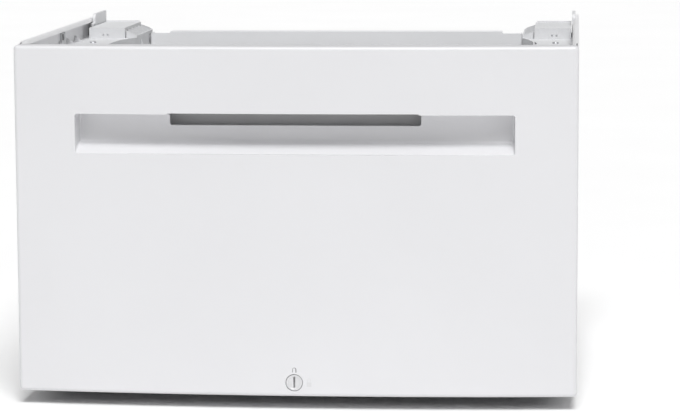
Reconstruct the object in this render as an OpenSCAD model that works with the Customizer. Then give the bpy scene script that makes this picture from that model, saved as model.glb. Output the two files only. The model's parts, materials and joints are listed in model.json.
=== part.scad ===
// Laundry pedestal: a steel plinth that lifts a front-loading appliance,
// with one full-width drawer on telescopic runners behind a bowed front.
// Frame: origin on the floor under the middle of the pedestal, +Z up,
// the drawer opens towards -Y, +X is to the right seen from the front.

/* [Overall] */
// Width across the side walls and the front panel
body_w = 598; // [596:1:604]
// Depth from the bow of the front panel to the back
body_d = 550; // [548:1:560]
// Height of the folded top edge of the side walls
wall_top = 388.5; // [386:0.5:396]
// Thickness of the side wall sheet
sheet_t = 1.2; // [1:0.1:1.3]

/* [Front panel] */
// Gap between the floor and the front panel
panel_z = 15; // [14:0.5:16]
// Height of the front panel
panel_h = 372; // [368:1:373]
// How far the middle of the panel stands in front of its corners
bow = 14; // [12:0.5:16]
// Thickness of the panel at its corners
panel_d = 21; // [21:0.5:21.5]
// Wall thickness of the panel skin
skin_t = 2.5; // [2:0.1:2.8]
// Rounding of the panel's upright edges
edge_r = 5; // [4:0.5:6]

/* [Handle] */
// Width of the handle recess
recess_w = 467.5; // [440:0.5:480]
// Height of the handle recess
recess_h = 42; // [40:0.5:43]
// Distance from the top of the panel down to the recess
recess_drop = 71.9; // [71:0.1:74]
// Width of the finger slot
slot_w = 268.6; // [240:0.2:280]
// Height of the finger slot
slot_h = 13.7; // [12:0.1:15]

/* [Lock] */
// Height of the lock above the bottom edge of the panel
lock_up = 14.9; // [14.6:0.1:15.4]
// Diameter of the lock barrel's face
lock_d = 17.5; // [16:0.1:17.8]
// Reach of the lock's arm
cam_reach = 14; // [13:0.5:14.5]

/* [Drawer] */
// Travel of the drawer
travel = 420; // [380:5:420]
// Height of the top edge of the drawer's sides
drawer_top = 300; // [290:1:306]
// Thickness of the drawer's sheet
box_t = 1; // [0.8:0.1:1.2]

/* [Feet] */
// Distance of each foot's axis from the side of the pedestal
foot_in = 37; // [36:0.5:38]
// Diameter of a foot's sole
sole_d = 44; // [40:1:44]
// Radius of the threaded stud
stud_r = 5; // [4.5:0.1:5]
// How far a foot can be screwed out
foot_out = 12; // [8:1:12]

/* [Hidden] */

hw = body_w / 2;                 // half the width
y_apex = -body_d / 2;            // foremost point of the bow
y_corner = y_apex + bow;         // plane of the panel's corners
y_pb = y_corner + panel_d;       // back of the panel
y_hf = y_pb + 4;                 // front of the housing
y_r = body_d / 2;                // back of the housing
bow_r = (hw * hw + bow * bow) / (2 * bow);
bow_y = y_apex + bow_r;          // centre of the bow in plan
p_top = panel_z + panel_h;
z_base = panel_z + 2;            // underside of the housing
wi = hw - sheet_t;               // inner face of a side wall
z_plate = wall_top - 21.8;       // top of the foot rail's plate
z_pad = wall_top - 9;            // top of the raised foot pads
z_lock = panel_z + lock_up;
rz1 = p_top - recess_drop;       // ceiling of the recess
rz0 = rz1 - recess_h;            // front edge of the recess's floor
y_rec = y_apex + 30.5;           // back face of the recess
rec_t = 2.2;
eps = 0.01;

// runner stack, measured inwards from the carrier's face
car_x = wi - 18;                 // inner face of the runner carrier
run_z = 160;                     // height of the runner's middle
box_x = car_x - 12.7;            // outer face of the drawer's sides
box_z = 50;                      // underside of the drawer
box_y0 = y_pb + 1.2;             // front of the drawer's sides
box_y1 = 225;                    // back of the drawer
foot_x = hw - foot_in;
foot_yf = y_hf + 76;             // well behind the panel's lower edge
foot_yr = y_r - 37;
z_br = z_base + 10;              // underside of the foot bracket's plate

// a box from its low corner to its high corner
module b(x0, x1, y0, y1, z0, z1) { translate([x0, y0, z0]) cube([x1 - x0, y1 - y0, z1 - z0]); }
// a rod along X, Y or Z
module rod_x(r, x0, x1, y, z) { translate([x0, y, z]) rotate([0, 90, 0]) cylinder(r = r, h = x1 - x0, $fn = 48); }
module rod_y(r, y0, y1, x, z) { translate([x, y0, z]) rotate([-90, 0, 0]) cylinder(r = r, h = y1 - y0, $fn = 64); }
module rod_z(r, z0, z1, x, y) { translate([x, y, z0]) cylinder(r = r, h = z1 - z0, $fn = 64); }
// a prism along X from a profile of [y, z] points
module prism_x(pts, x0, x1) { translate([x0, 0, 0]) rotate([90, 0, 90]) linear_extrude(x1 - x0) polygon(pts); }
// a prism along Y from a profile of [x, z] points
module prism_y(pts, y0, y1) { translate([0, y1, 0]) rotate([90, 0, 0]) linear_extrude(y1 - y0) polygon(pts); }
// the left-hand copy of a right-hand piece
module left() { mirror([1, 0, 0]) children(); }

// ---------- front panel ----------

// bow of the panel, set in by t
function bow_at(x, t) = bow_y - sqrt((bow_r - t) * (bow_r - t) - x * x);
// plan of the panel, set in by t, back edge at yb
function plan(t, yb) = let (
        w = hw - t, r = max(edge_r - t, 0.6), R = bow_r - t,
        cx = w - r, cy = bow_y - sqrt((R - r) * (R - r) - cx * cx),
        a0 = asin(cx / (R - r)) - 90)
    concat(
        [for (i = [0:60]) let (a = asin(cx / (R - r)) * (i / 30 - 1)) [R * sin(a), bow_y - R * cos(a)]],
        [for (i = [1:8]) let (a = a0 - a0 * i / 8) [cx + r * cos(a), cy + r * sin(a)]],
        [[w, yb], [-w, yb]],
        [for (i = [0:7]) let (a = -a0 * i / 8) [-cx - r * cos(a), cy - r * sin(a)]]);

boss_at = [for (x = [-278, -150, 0, 150, 278]) for (z = [p_top - 22]) [x, z],
    [-278, panel_z + 150], [278, panel_z + 150], [-278, panel_z + 24], [278, panel_z + 24], [-120, panel_z + 24], [120, panel_z + 24]];

module front_panel() {
    color([0.93, 0.93, 0.94])
    difference() {
        union() {
            difference() {
                translate([0, 0, panel_z]) linear_extrude(panel_h) polygon(plan(0, y_pb));
                translate([0, 0, panel_z + skin_t]) linear_extrude(panel_h - 2 * skin_t) polygon(plan(skin_t, y_pb + 5));
            }
            // ribs that stiffen the skin
            for (x = [-245, -196, 196, 245]) prism_z([[x - 0.8, bow_at(x, 1)], [x + 0.8, bow_at(x, 1)], [x + 0.8, y_pb - 0.2], [x - 0.8, y_pb - 0.2]], panel_z + 1, rz0 - 8);
            for (x = [-120, -60, 60, 120]) prism_z([[x - 0.8, bow_at(x, 1)], [x + 0.8, bow_at(x, 1)], [x + 0.8, y_pb - 14], [x - 0.8, y_pb - 14]], panel_z + 34, rz0 - 8);
            // bosses that take the screws of the inner plate
            for (p = boss_at) rod_y(4.5, bow_at(p[0], 1), y_pb, p[0], p[1]);
        }
        // opening for the handle recess
        b(-recess_w / 2 - rec_t, recess_w / 2 + rec_t, y_apex - 1, y_apex + 25, rz0 - rec_t, rz1 + rec_t);
        // hole for the lock barrel and its housing
        rod_y(lock_d / 2 + 0.5, y_apex - 1, y_apex + 5, 0, z_lock);
        for (p = boss_at) rod_y(1.75, y_pb - 12, y_pb + 1, p[0], p[1]);
    }
}
module prism_z(pts, z0, z1) { translate([0, 0, z0]) linear_extrude(z1 - z0) polygon(pts); }

// floor of the recess: a hollow curve that climbs from the front edge to the back face
function floor_z(t) = rz0 + 9.5 * (1 - pow(1 - t, 1.8));
rec_in = concat([[y_apex - 2, rz0]],
    [for (i = [0:16]) let (t = i / 16) [y_apex + 9 + (y_rec - y_apex - 9) * t, floor_z(t)]],
    [[y_rec, rz1], [y_apex - 2, rz1]]);
rec_out = concat([[y_apex - 2, rz0 - rec_t]],
    [for (i = [0:16]) let (t = i / 16) [y_apex + 11 + (y_rec + rec_t - y_apex - 11) * t, floor_z(t) - rec_t]],
    [[y_rec + rec_t, rz1 + rec_t], [y_apex - 2, rz1 + rec_t]]);

module handle_recess() {
    color([0.92, 0.92, 0.93])
    difference() {
        intersection() {
            prism_x(rec_out, -recess_w / 2 - rec_t, recess_w / 2 + rec_t);
            translate([0, 0, rz0 - 10]) linear_extrude(recess_h + 20) polygon(plan(0, y_pb));
        }
        intersection() {
            prism_x(rec_in, -recess_w / 2, recess_w / 2);
            // the end walls lean inwards towards the back
            translate([0, 0, rz0 - 5]) linear_extrude(recess_h + 10)
                polygon([[-recess_w / 2 - 1, y_apex - 3], [recess_w / 2 + 1, y_apex - 3], [recess_w / 2 - 2.2, y_rec + 1], [-recess_w / 2 + 2.2, y_rec + 1]]);
        }
        b(-slot_w / 2, slot_w / 2, y_rec - 1, y_rec + rec_t + 1, rz1 - slot_h, rz1);
    }
}

module grip_pocket() {
    color([0.88, 0.88, 0.89])
    difference() {
        b(-slot_w / 2 - 3, slot_w / 2 + 3, y_rec + rec_t, y_rec + 24, rz1 - slot_h - 4, rz1 + 18);
        b(-slot_w / 2 - 1, slot_w / 2 + 1, y_rec + rec_t + 2, y_rec + 22, rz1 - slot_h - 2, rz1 + 16);
        b(-slot_w / 2, slot_w / 2, y_rec + rec_t - 1, y_rec + rec_t + 3, rz1 - slot_h, rz1);
    }
}

module drawer_front_plate() {
    color([0.86, 0.86, 0.87])
    difference() {
        union() {
            b(-hw + 5, hw - 5, y_pb, y_pb + 1.2, panel_z + 5, p_top - 5);
            // folded seats for the drawer's sides
            for (s = [-1, 1]) b(min(s * (box_x - box_t), s * (box_x - box_t - 14)), max(s * (box_x - box_t), s * (box_x - box_t - 14)), y_pb + 1.2, y_pb + 2.4, box_z + 6, drawer_top - 6);
        }
        b(-slot_w / 2 - 3.4, slot_w / 2 + 3.4, y_pb - 1, y_pb + 3, rz1 - slot_h - 4.4, rz1 + 18.4);
        rod_y(8.1, y_pb - 1, y_pb + 3, 0, z_lock);
        for (p = boss_at) rod_y(2, y_pb - 1, y_pb + 3, p[0], p[1]);
        for (s = [-1, 1]) for (z = [90, 150, 210, 270]) rod_y(2, y_pb - 1, y_pb + 3, s * (box_x - 8), z);
    }
}

// ---------- drawer box ----------

module drawer_side_half() {
    color([0.88, 0.88, 0.89])
    difference() {
        union() {
            b(box_x - box_t, box_x, box_y0, box_y1, box_z, drawer_top);
            // top edge folded outwards and down
            b(box_x - box_t, box_x + 7, box_y0, box_y1, drawer_top - 1, drawer_top);
            b(box_x + 6, box_x + 7, box_y0, box_y1, drawer_top - 8, drawer_top);
            // front and back flanges, and the ledge under the bottom
            b(box_x - 14, box_x, box_y0 + 1.2, box_y0 + 2.2, box_z + 14, drawer_top - 8);
            b(box_x - 14, box_x, box_y1 - 2.2, box_y1 - 1.2, box_z + 14, drawer_top - 8);
            b(box_x - 14, box_x, box_y0 + 2.2, box_y1 - 2.4, box_z, box_z + 1);
        }
        for (z = [90, 150, 210, 270]) for (y = [box_y0 - 1, box_y1 - 3]) rod_y(2, y, y + 5, box_x - 8, z);
        for (y = [-180, -40, 100, 190]) rod_x(2.2, box_x - 2, box_x + 1, y, run_z);
    }
}
module drawer_bottom() {
    color([0.87, 0.87, 0.88])
    difference() {
        union() {
            b(-box_x + box_t, box_x - box_t, box_y0 + 2.6, box_y1 - 2.6, box_z + 1, box_z + 2);
            b(-box_x + box_t, box_x - box_t, box_y0 + 2.6, box_y0 + 3.6, box_z + 1, box_z + 12);
            b(-box_x + box_t, box_x - box_t, box_y1 - 3.6, box_y1 - 2.6, box_z + 1, box_z + 12);
            // pressed beads
            for (x = [-200:50:200]) b(x - 5, x + 5, box_y0 + 24, box_y1 - 24, box_z + 2, box_z + 3.2);
        }
        for (x = [-200:50:200]) b(x - 3.6, x + 3.6, box_y0 + 25.5, box_y1 - 25.5, box_z, box_z + 2);
    }
}
module drawer_back() {
    color([0.88, 0.88, 0.89])
    difference() {
        union() {
            b(-box_x + box_t, box_x - box_t, box_y1 - 1.2, box_y1 - 0.2, box_z, drawer_top);
            b(-box_x + box_t, box_x - box_t, box_y1 - 9, box_y1 - 0.2, drawer_top - 1, drawer_top);
            b(-box_x + box_t, box_x - box_t, box_y1 - 9, box_y1 - 8, drawer_top - 7, drawer_top);
        }
        for (s = [-1, 1]) for (z = [90, 150, 210, 270]) rod_y(2, box_y1 - 3, box_y1 + 1, s * (box_x - 8), z);
    }
}

// ---------- runners: u is the distance inwards from the carrier ----------

module channel(u0, u1, ut, zh, t, y0, y1, web_at_low) {
    // a C section: web at one end of u, flanges top and bottom
    x1 = car_x - u0; x0 = car_x - u1;
    if (web_at_low) b(x1 - ut, x1, y0, y1, run_z - zh, run_z + zh);
    else b(x0, x0 + ut, y0, y1, run_z - zh, run_z + zh);
    b(x0, x1, y0, y1, run_z + zh - t, run_z + zh);
    b(x0, x1, y0, y1, run_z - zh, run_z - zh + t);
}
module runner_outer_half() {
    color([0.72, 0.73, 0.75])
    difference() {
        union() {
            channel(0, 9.5, 1.2, 23, 1.2, y_hf + 4, 248, true);
            // end stop
            b(car_x - 8, car_x, 244, 248, run_z - 10, run_z + 10);
        }
        for (y = [-200, -40, 120, 220]) rod_x(2.2, car_x - 3, car_x + 1, y, run_z);
    }
}
module runner_middle_half() {
    color([0.75, 0.76, 0.78])
    difference() {
        channel(2.4, 11, 1.2, 18.3, 1.2, y_hf + 6, 220, true);
        for (y = [-150, 0, 150]) rod_x(4, car_x - 5, car_x, y, run_z);
    }
}
module runner_inner_half() {
    color([0.78, 0.79, 0.81])
    difference() {
        channel(4.8, 12.7, 1.2, 13.6, 1.2, box_y0 + 4, 210, false);
        for (y = [-180, -40, 100, 190]) rod_x(2.2, box_x - 1, box_x + 3, y, run_z);
    }
}
// ball cage: two strips that hold the balls and the web between them
module cage(u0, u1, zc, y0, y1) {
    difference() {
        union() {
            b(car_x - u0 - 0.6, car_x - u0, y0, y1, run_z - zc - 0.4, run_z + zc + 0.4);
            for (s = [-1, 1]) b(car_x - u1, car_x - u0, y0, y1, run_z + s * zc - 0.4, run_z + s * zc + 0.4);
        }
        for (y = [y0 + 30:40:y1 - 20]) b(car_x - u0 - 1, car_x - u0 + 1, y - 13, y + 13, run_z - 10, run_z + 10);
    }
    for (s = [-1, 1]) for (y = [y0 + 8:17:y1 - 6]) translate([car_x - (u0 + u1 + 0.6) / 2, y, run_z + s * zc]) sphere(r = 1.65, $fn = 32);
}
module cage_outer_half() { color([0.83, 0.78, 0.6]) cage(1.5, 8, 20.05, -110, 100); }
module cage_inner_half() { color([0.83, 0.78, 0.6]) cage(3.9, 10, 15.35, -120, 100); }

module carrier_half() {
    color([0.8, 0.81, 0.82])
    difference() {
        union() {
            b(car_x, car_x + 1.5, y_hf + 3, 252, run_z - 30, run_z + 30);
            for (s = [-1, 1]) {
                b(car_x, wi, y_hf + 3, 252, run_z + s * 29.25 - 0.75, run_z + s * 29.25 + 0.75);
                b(wi - 1.5, wi, y_hf + 3, 252, run_z + s * 36 - 7.5, run_z + s * 36 + 7.5);
            }
        }
        for (y = [-200, -40, 120, 220]) rod_x(2.2, car_x - 1, car_x + 3, y, run_z);
        for (y = [-190:95:190]) for (s = [-1, 1]) rod_x(2.2, wi - 3, wi + 0.5, y, run_z + s * 38);
    }
}

// ---------- housing ----------

module side_wall_half() {
    color([0.9, 0.9, 0.91])
    difference() {
        union() {
            b(wi, hw, y_hf, y_r, z_base, wall_top);
            // top edge: folded in and hemmed down
            b(hw - 4, hw, y_hf, y_r, wall_top - 1, wall_top);
            b(hw - 4, hw - 3, y_hf, y_r, wall_top - 3.2, wall_top);
            // front fold, bottom flange and back fold
            b(car_x, hw, y_hf, y_hf + sheet_t, z_base, z_plate - 5);
            b(hw - 27, hw, y_hf, y_r, z_base, z_base + sheet_t);
            b(hw - 22, hw, y_r - sheet_t, y_r, z_base, z_plate - 5);
        }
        // the front end of the top edge is bevelled down to the panel
        prism_x([[y_hf - 1, wall_top + 1], [y_hf - 1, p_top - 1.4], [y_hf + 25, wall_top + 1]], hw - 8, hw + 1);
        for (y = [-190:95:190]) for (s = [-1, 1]) rod_x(1.9, wi - 1, hw + 1, y, run_z + s * 38);
        // window for the snap clip of the foot rail
        b(wi - 1, wi + 0.7, 6.6, 11.4, wall_top - 16, wall_top - 6.6);
    }
}

module rear_panel() {
    color([0.85, 0.85, 0.86])
    difference() {
        union() {
            b(-wi + 1, wi - 1, y_r - 2.4, y_r - 1.2, z_base + 2, z_plate - 2.5);
            // pressed beads
            for (z = [110, 180, 250, 320]) b(-230, 230, y_r - 1.2, y_r - 0.3, z - 6, z + 6);
            b(-wi + 1, wi - 1, y_r - 14, y_r - 2.4, z_base + 2, z_base + 3.2);
        }
        for (z = [110, 180, 250, 320]) b(-228, 228, y_r - 2.6, y_r - 1.3, z - 4, z + 4);
        for (s = [-1, 1]) for (z = [40, 140, 240, 340]) rod_y(1.9, y_r - 4, y_r + 1, s * (hw - 12), z);
    }
}

module front_cross_member() {
    color([0.8, 0.81, 0.82])
    difference() {
        union() {
            b(-foot_x + 24, foot_x - 24, y_hf + 8, y_hf + 9.5, z_base, z_base + 32);
            b(-foot_x + 24, foot_x - 24, y_hf + 8, y_hf + 40, z_base, z_base + 1.5);
            b(-foot_x + 24, foot_x - 24, y_hf + 38.5, y_hf + 40, z_base, z_base + 18);
        }
        // the lock's arm passes this opening when it lies flat
        b(-cam_reach - 3.5, 9, y_hf + 7, y_hf + 10, z_lock - 8, z_lock + 8);
        for (s = [-1, 1]) rod_y(2, y_hf + 7, y_hf + 12, s * 24, z_lock);
    }
}
module lock_strike_plate() {
    color([0.7, 0.71, 0.73])
    difference() {
        b(-32, 32, y_hf + 9.5, y_hf + 11, z_base + 2, z_base + 31);
        b(-cam_reach - 3.5, 9, y_hf + 9, y_hf + 12, z_lock - 8, z_lock + 8);
        for (s = [-1, 1]) rod_y(2, y_hf + 9, y_hf + 12, s * 24, z_lock);
    }
}
module rear_cross_member() {
    color([0.8, 0.81, 0.82]) {
        b(-foot_x + 24, foot_x - 24, y_r - 42, y_r - 40.5, z_base, z_base + 24);
        b(-foot_x + 24, foot_x - 24, y_r - 42, y_r - 16, z_base, z_base + 1.5);
        b(-foot_x + 24, foot_x - 24, y_r - 17.5, y_r - 16, z_base, z_base + 24);
    }
}
module upper_front_bar() {
    color([0.8, 0.81, 0.82]) {
        b(-262, 262, y_hf + 6, y_hf + 7.5, z_plate - 30, z_plate - 4.5);
        b(-262, 262, y_hf + 6, y_hf + 30, z_plate - 6, z_plate - 4.5);
        b(-247, 247, y_hf + 28.5, y_hf + 30, z_plate - 18, z_plate - 4.5);
    }
}
// beam across the back, seen above the front: stepped lower at its ends
module upper_rear_beam() {
    color([0.84, 0.85, 0.86])
    union() {
        prism_y([[-229.5, wall_top - 70], [229.5, wall_top - 70], [229.5, wall_top - 21.2], [206.5, wall_top - 21.2],
            [205, wall_top - 19], [-205, wall_top - 19], [-206.5, wall_top - 21.2], [-229.5, wall_top - 21.2]], y_corner + 501, y_corner + 502.5);
        b(-205, 205, y_corner + 501, y_corner + 522, wall_top - 20.5, wall_top - 19);
        b(-205, 205, y_corner + 520.5, y_corner + 522, wall_top - 60, wall_top - 19);
        b(-229.5, 229.5, y_corner + 501, y_corner + 515, wall_top - 70, wall_top - 68.5);
        for (s = [-1, 1]) b(min(s * 229.5, s * 228), max(s * 229.5, s * 228), y_corner + 501, y_corner + 522, wall_top - 70, wall_top - 21.2);
        // ends that reach under the support rails
        for (s = [-1, 1]) b(min(s * 229, s * 262), max(s * 229, s * 262), y_corner + 501, y_corner + 502.5, wall_top - 70, z_plate - 14.2);
        for (s = [-1, 1]) b(min(s * 248.4, s * 262), max(s * 248.4, s * 262), y_corner + 501, y_corner + 502.5, wall_top - 50, z_plate - 4.5);
    }
}

// inner edge of the foot rail's plate: it widens in a curve towards the rear pad
function edge_x(d) = d < 307 ? 246.5 : d > 405 ? 231.8 : 246.5 - 14.7 * (1 - cos(90 * pow((d - 307) / 98, 1.25)));
rail_y0 = y_hf + 3;
rail_y1 = y_corner + 527;
module foot_rail_half() {
    color([0.84, 0.84, 0.85])
    difference() {
        union() {
            // plate
            translate([0, 0, z_plate - 2.5]) linear_extrude(2.5) polygon(concat(
                [[wi - 0.1, rail_y0], [wi - 0.1, rail_y1], [231.8, rail_y1]],
                [for (i = [0:14]) let (d = 405 - 98 * i / 14) [edge_x(d), y_corner + d]], [[246.5, rail_y0]]));
            // skirt along the inner edge, with a low rim above the plate
            translate([0, 0, z_plate - 14]) linear_extrude(15.4) polygon(concat(
                [for (i = [0:14]) let (d = 405 - 98 * i / 14) [edge_x(d), y_corner + d]],
                [for (i = [0:14]) let (d = 307 + 98 * i / 14) [edge_x(d) + 1.6, y_corner + d]]));
            b(246.5, 248.1, y_hf + 32, y_corner + 307, z_plate - 14, z_plate + 1.4);
            // raised pads
            b(248, 290, rail_y0, y_corner + 96, z_plate - 2.5, z_pad);
            b(248, 290, y_corner + 405, rail_y1, z_plate - 2.5, z_pad);
            // ribs against the wall
            for (d = [110, 158, 206, 254, 303, 351]) prism_x([[y_corner + d - 5, z_plate], [y_corner + d + 5, z_plate], [y_corner + d + 1.5, z_plate + 7], [y_corner + d - 1.5, z_plate + 7]], wi - 1.6, wi - 0.1);
            for (d = [110, 158, 206, 254, 303, 351]) prism_y([[wi - 0.1, z_plate], [wi - 10, z_plate], [wi - 1.6, z_plate + 6.6], [wi - 0.1, z_plate + 6.6]], y_corner + d - 0.9, y_corner + d + 0.9);
            // sloping gussets on the inner side of the rear pad
            for (i = [0:5]) let (y = y_corner + 405 + 24 * i) prism_y([[247, z_plate - 2.5], [247, wall_top - 12.2], [245.5, wall_top - 12.2], [236, wall_top - 15.5], [232.2, wall_top - 17.9], [232.2, z_plate - 2.5]], y, y + 2);
            // inner side wall, deeper in front of the rear beam, and the pad's inner end wall
            b(231.8, 233.6, y_corner + 405, rail_y1, z_plate - 2.5, wall_top - 18.4);
            b(231.8, 233.6, y_corner + 405, y_corner + 500.5, wall_top - 45, z_plate - 2);
            b(246.3, 248.1, y_corner + 405, rail_y1, wall_top - 29, z_pad);
            // slanted rib on the inner side wall
            prism_y([[235.5, wall_top - 23], [231.9, wall_top - 23], [228, wall_top - 36], [231.5, wall_top - 36]], y_corner + 438.5, y_corner + 441.5);
            // rear lip of the pad
            b(248, 290, rail_y1 - 1.8, rail_y1, z_pad, z_pad + 1.6);
        }
        // hollow underside of the pads, ribbed
        for (r = [[rail_y0, y_corner + 96], [y_corner + 405, rail_y1]]) for (x = [250, 269.6]) for (i = [0:2])
            let (n = (r[1] - r[0] - 2.5) / 3, y = r[0] + 2.5 + n * i) b(x, x + 18, y, y + n - 2.5, z_plate - 3, z_pad - 3);
        // slot beside the curved rim
        translate([0, 0, z_plate - 3]) linear_extrude(4) polygon(concat(
            [for (i = [1:9]) let (d = 309 + 6.5 * i) [edge_x(d) + 1.7, y_corner + d]],
            [for (i = [9:-1:1]) let (d = 309 + 6.5 * i) [edge_x(d) + 1.7 + 3.2 * sin(i * 18), y_corner + d]]));
        // shallow ring and small holes on the rear pad
        translate([0, 0, z_pad - 0.5]) difference() { rod_z(5, 0, 1, 265, y_corner + 440); rod_z(4.2, -1, 2, 265, y_corner + 440); }
        for (x = [267.3, 272.7]) rod_y(1.2, y_corner + 404, y_corner + 406.6, x, wall_top - 17.5);
        // slot beside the pad's front face
        b(244.6, 246.3, y_corner + 404, y_corner + 408, wall_top - 21.4, wall_top - 13);
        // holes for the rail's screws
        for (d = [130, 230, 330]) rod_z(2.1, z_plate - 3, z_plate + 1, 272, y_corner + d);
    }
}
module support_rail_half() {
    color([0.78, 0.79, 0.8])
    difference() {
        union() {
            b(248.4, wi - 0.1, rail_y0, rail_y1, z_plate - 4.5, z_plate - 2.5);
            b(wi - 2.1, wi - 0.1, rail_y0, rail_y1, z_plate - 44, z_plate - 2.5);
            for (d = [60, 180, 300, 420, 488]) prism_y([[250, z_plate - 4], [wi - 1, z_plate - 4], [wi - 1, z_plate - 42], [wi - 8, z_plate - 42]], y_corner + d, y_corner + d + 2);
        }
        for (d = [130, 230, 330]) rod_z(1.6, z_plate - 6, z_plate - 1, 272, y_corner + d);
    }
}
// upright tab behind the pad that keeps the appliance from creeping
module guide_tab_half() {
    color([0.82, 0.82, 0.83])
    difference() {
        union() {
            prism_x([[y_corner + 455, z_plate], [y_corner + 533, z_plate], [y_corner + 533, wall_top + 5], [y_corner + 462, wall_top + 5],
                for (i = [1:5]) let (a = 90 + 18 * i) [y_corner + 462 + 7 * cos(a), wall_top - 2 + 7 * sin(a)]], 290.9, 294.9);
            b(290.9, 294.9, y_corner + 440, y_corner + 533, z_plate, wall_top - 6);
        }
        for (d = [444, 474]) b(290, 293, y_corner + d, y_corner + d + 5.5, wall_top - 11, wall_top - 7.5);
    }
}
module wall_clips_half() {
    color([0.93, 0.93, 0.93])
    union() {
        b(wi - 1.4, wi, 7, 11, wall_top - 15.6, wall_top - 7);
        prism_y([[wi - 1.4, wall_top - 7.2], [wi - 3.4, wall_top - 12.5], [wi - 1.4, wall_top - 12.5]], 7, 11);
    }
}

// ---------- feet ----------

function foot_y(r) = r ? foot_yr : foot_yf;
module foot_bracket_half(r) {
    color([0.74, 0.75, 0.77])
    // the front bracket runs forward to the cross member
    let (y = foot_y(r), y0 = r ? y - 22 : y - 73, y1 = r ? y + 20 : y + 24)
    difference() {
        union() {
            b(foot_x - 24, wi, y0, y1, z_br, z_br + 2.5);
            b(foot_x - 24, foot_x - 21.5, y0, y1, z_base, z_br + 2.5);
            b(wi - 2.5, wi, y0, y1, z_base + sheet_t, z_br + 2.5);
            rod_z(9, z_br + 2.5, z_br + 10, foot_x, y);
        }
        rod_z(stud_r + 0.06, z_base, z_br + 20, foot_x, y);
    }
}
module foot_lock_nuts() {
    color([0.7, 0.71, 0.73])
    for (s = [-1, 1]) for (r = [false, true]) difference() {
        translate([s * foot_x, foot_y(r), z_br - 6]) cylinder(r = 9.6, h = 6, $fn = 6);
        rod_z(stud_r + 0.06, z_br - 7, z_br + 1, s * foot_x, foot_y(r));
    }
}
module foot_pad(s, r) {
    color([0.2, 0.2, 0.21])
    translate([s * foot_x, foot_y(r), 0]) difference() {
        rotate_extrude($fn = 96) polygon([[0, 0], [sole_d / 2 - 1, 0], [sole_d / 2, 1], [sole_d / 2, 3], [sole_d / 2 - 5, 5.4], [11, 8], [0, 8]]);
        translate([0, 0, 3.6]) cylinder(r = 7.06, h = 10, $fn = 64);
    }
}
module foot_stud(s, r) {
    color([0.72, 0.73, 0.75])
    translate([s * foot_x, foot_y(r), 0]) union() {
        translate([0, 0, 3.7]) cylinder(r = 7, h = 4.9, $fn = 64);
        translate([0, 0, 8.6]) cylinder(r = 7.5, h = 4.4, $fn = 6);
        translate([0, 0, 13]) cylinder(r = stud_r, h = 29, $fn = 64);
        translate([0, 0, 42]) cylinder(r1 = stud_r, r2 = stud_r - 1.2, h = 1.2, $fn = 64);
    }
}

// ---------- lock ----------

module lock_housing() {
    color([0.5, 0.5, 0.52])
    difference() {
        union() {
            rod_y(12, y_apex + skin_t + 0.1, y_apex + skin_t + 2.1, 0, z_lock);
            rod_y(10.6, y_apex + skin_t + 0.1, y_apex + 14, 0, z_lock);
            rod_y(8, y_apex + 14, y_pb + 6, 0, z_lock);
        }
        rod_y(lock_d / 2 + 0.08, y_apex, y_apex + 12.2, 0, z_lock);
        rod_y(5.08, y_apex + 12, y_pb + 8, 0, z_lock);
    }
}
module lock_ring_nut() {
    color([0.7, 0.71, 0.73])
    difference() {
        translate([0, y_pb + 1.2, z_lock]) rotate([-90, 0, 0]) cylinder(r = 12, h = 3.6, $fn = 6);
        rod_y(8.02, y_pb, y_pb + 6, 0, z_lock);
    }
}
module lock_barrel() {
    color([0.86, 0.86, 0.87])
    difference() {
        union() {
            rod_y(lock_d / 2, y_apex + 0.3, y_apex + 12, 0, z_lock);
            rod_y(5, y_apex + 12, y_hf + 12, 0, z_lock);
            b(-3.4, 3.4, y_hf + 12, y_hf + 15, z_lock - 3.4, z_lock + 3.4);
        }
        // coin slot, upright when the drawer is free
        b(-0.85, 0.85, y_apex - 1, y_apex + 2.6, z_lock - 6, z_lock + 6);
        rod_y(1.55, y_hf + 5, y_hf + 16, 0, z_lock);
    }
}
module lock_cam() {
    color([0.7, 0.71, 0.73])
    difference() {
        union() {
            rod_y(7, y_hf + 12, y_hf + 15, 0, z_lock);
            b(-cam_reach, 0, y_hf + 12, y_hf + 15, z_lock - 5, z_lock + 5);
        }
        b(-3.45, 3.45, y_hf + 11, y_hf + 16, z_lock - 3.45, z_lock + 3.45);
    }
}
module lock_cam_screw() {
    color([0.6, 0.61, 0.63])
    union() {
        rod_y(5.5, y_hf + 15, y_hf + 16, 0, z_lock);
        rod_y(2.8, y_hf + 16, y_hf + 18.2, 0, z_lock);
        rod_y(1.5, y_hf + 6, y_hf + 15, 0, z_lock);
    }
}

// ---------- fasteners and buffers ----------

module screw_y(x, y, z, d, l) { rod_y(d * 0.95, y, y + d * 0.55, x, z); rod_y(d / 2, y - l, y, x, z); }
module panel_screws() {
    color([0.7, 0.71, 0.73])
    for (p = boss_at) union() { rod_y(3.4, y_pb + 1.2, y_pb + 3.2, p[0], p[1]); rod_y(1.7, y_pb - 10, y_pb + 1.3, p[0], p[1]); }
}
module drawer_screws() {
    color([0.7, 0.71, 0.73]) {
        for (s = [-1, 1]) for (z = [90, 150, 210, 270]) {
            union() { rod_y(3.6, box_y0 + 2.2, box_y0 + 4, s * (box_x - 8), z); rod_y(1.95, box_y0 + 0.1, box_y0 + 2.4, s * (box_x - 8), z); }
            union() { rod_y(3.6, box_y1 - 0.2, box_y1 + 1.6, s * (box_x - 8), z); rod_y(1.95, box_y1 - 2.6, box_y1, s * (box_x - 8), z); }
        }
        for (s = [-1, 1]) for (y = [-180, -40, 100, 190]) mirror([s < 0 ? 1 : 0, 0, 0]) union() {
            rod_x(4, box_x - box_t - 1.6, box_x - box_t, y, run_z);
            rod_x(2.15, box_x - box_t - 0.2, box_x + 1.2, y, run_z);
        }
    }
}
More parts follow.
